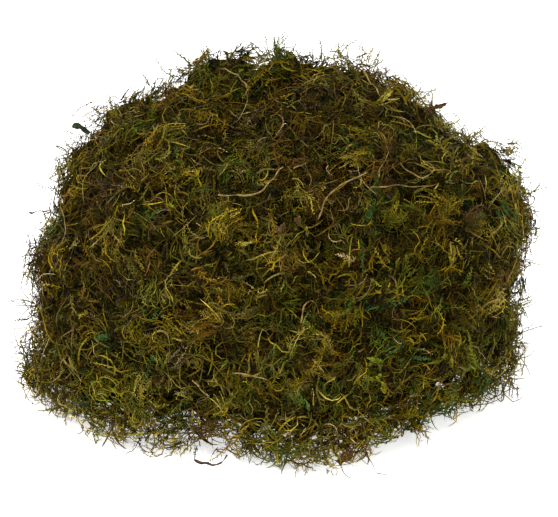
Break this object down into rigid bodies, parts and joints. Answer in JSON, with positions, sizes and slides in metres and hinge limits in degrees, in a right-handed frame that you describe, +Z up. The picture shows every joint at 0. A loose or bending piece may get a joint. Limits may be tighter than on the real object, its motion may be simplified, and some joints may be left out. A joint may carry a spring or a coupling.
{
  "type": "moss clump",
  "caption": "Domed clump of loose preserved moss, a heap of tangled tufts with dry straws, twigs and bark flakes caught in it, resting on a flat surface.",
  "frame": {"origin": "on the supporting surface, under the middle of the heap's bounding box", "axes": "+Z up, -Y towards the front of the heap, +X to the right seen from the front"},
  "size_m": [0.231, 0.2046, 0.1464],
  "materials": {
    "moss_gold": "matte, golden olive moss fibre",
    "moss_olive": "matte, dark olive moss fibre",
    "moss_green": "matte, deep green moss fibre",
    "moss_brown": "matte, brown old moss fibre",
    "straw": "satin dry straw",
    "twig": "matte dark twig bark",
    "bark": "matte reddish bark",
    "leaf": "satin leaf"
  },
  "bodies": {
    "root": {"bark_front": "bark", "bark_middle": "bark", "bark_orange": "bark", "bark_sliver": "bark", "crown_back": "moss_green", "crown_front": "moss_brown", "crown_left": "moss_gold", "crown_right": "moss_olive", "inner_back": "moss_brown", "inner_left": "moss_gold", "inner_right": "moss_olive", "leaf_curl": "leaf", "leaf_green": "leaf", "shoulder_back_left": "moss_olive", "shoulder_back_right": "moss_gold", "shoulder_front": "moss_gold", "shoulder_front_left": "moss_brown", "shoulder_front_right": "moss_green", "shoulder_left": "moss_gold", "shoulder_right": "moss_olive", "straw_arch": "straw", "straw_bent": "straw", "straw_crown_left": "straw", "straw_crown_right": "straw", "straw_curl": "straw", "straw_foot_front": "straw", "straw_foot_left": "straw", "straw_hook": "straw", "straw_level": "straw", "straw_long": "straw", "straw_low": "straw", "straw_short": "straw", "straw_side": "straw", "straw_upright": "straw", "tuft_back_left": "moss_gold", "tuft_back_right": "moss_green", "tuft_front": "moss_gold", "tuft_front_left": "moss_olive", "tuft_front_right": "moss_green", "tuft_left": "moss_brown", "tuft_left_back": "moss_olive", "tuft_right": "moss_gold", "tuft_right_back": "moss_olive", "twig_foot": "twig", "twig_forked": "twig", "twig_left": "twig"}
  },
  "joints": []
}
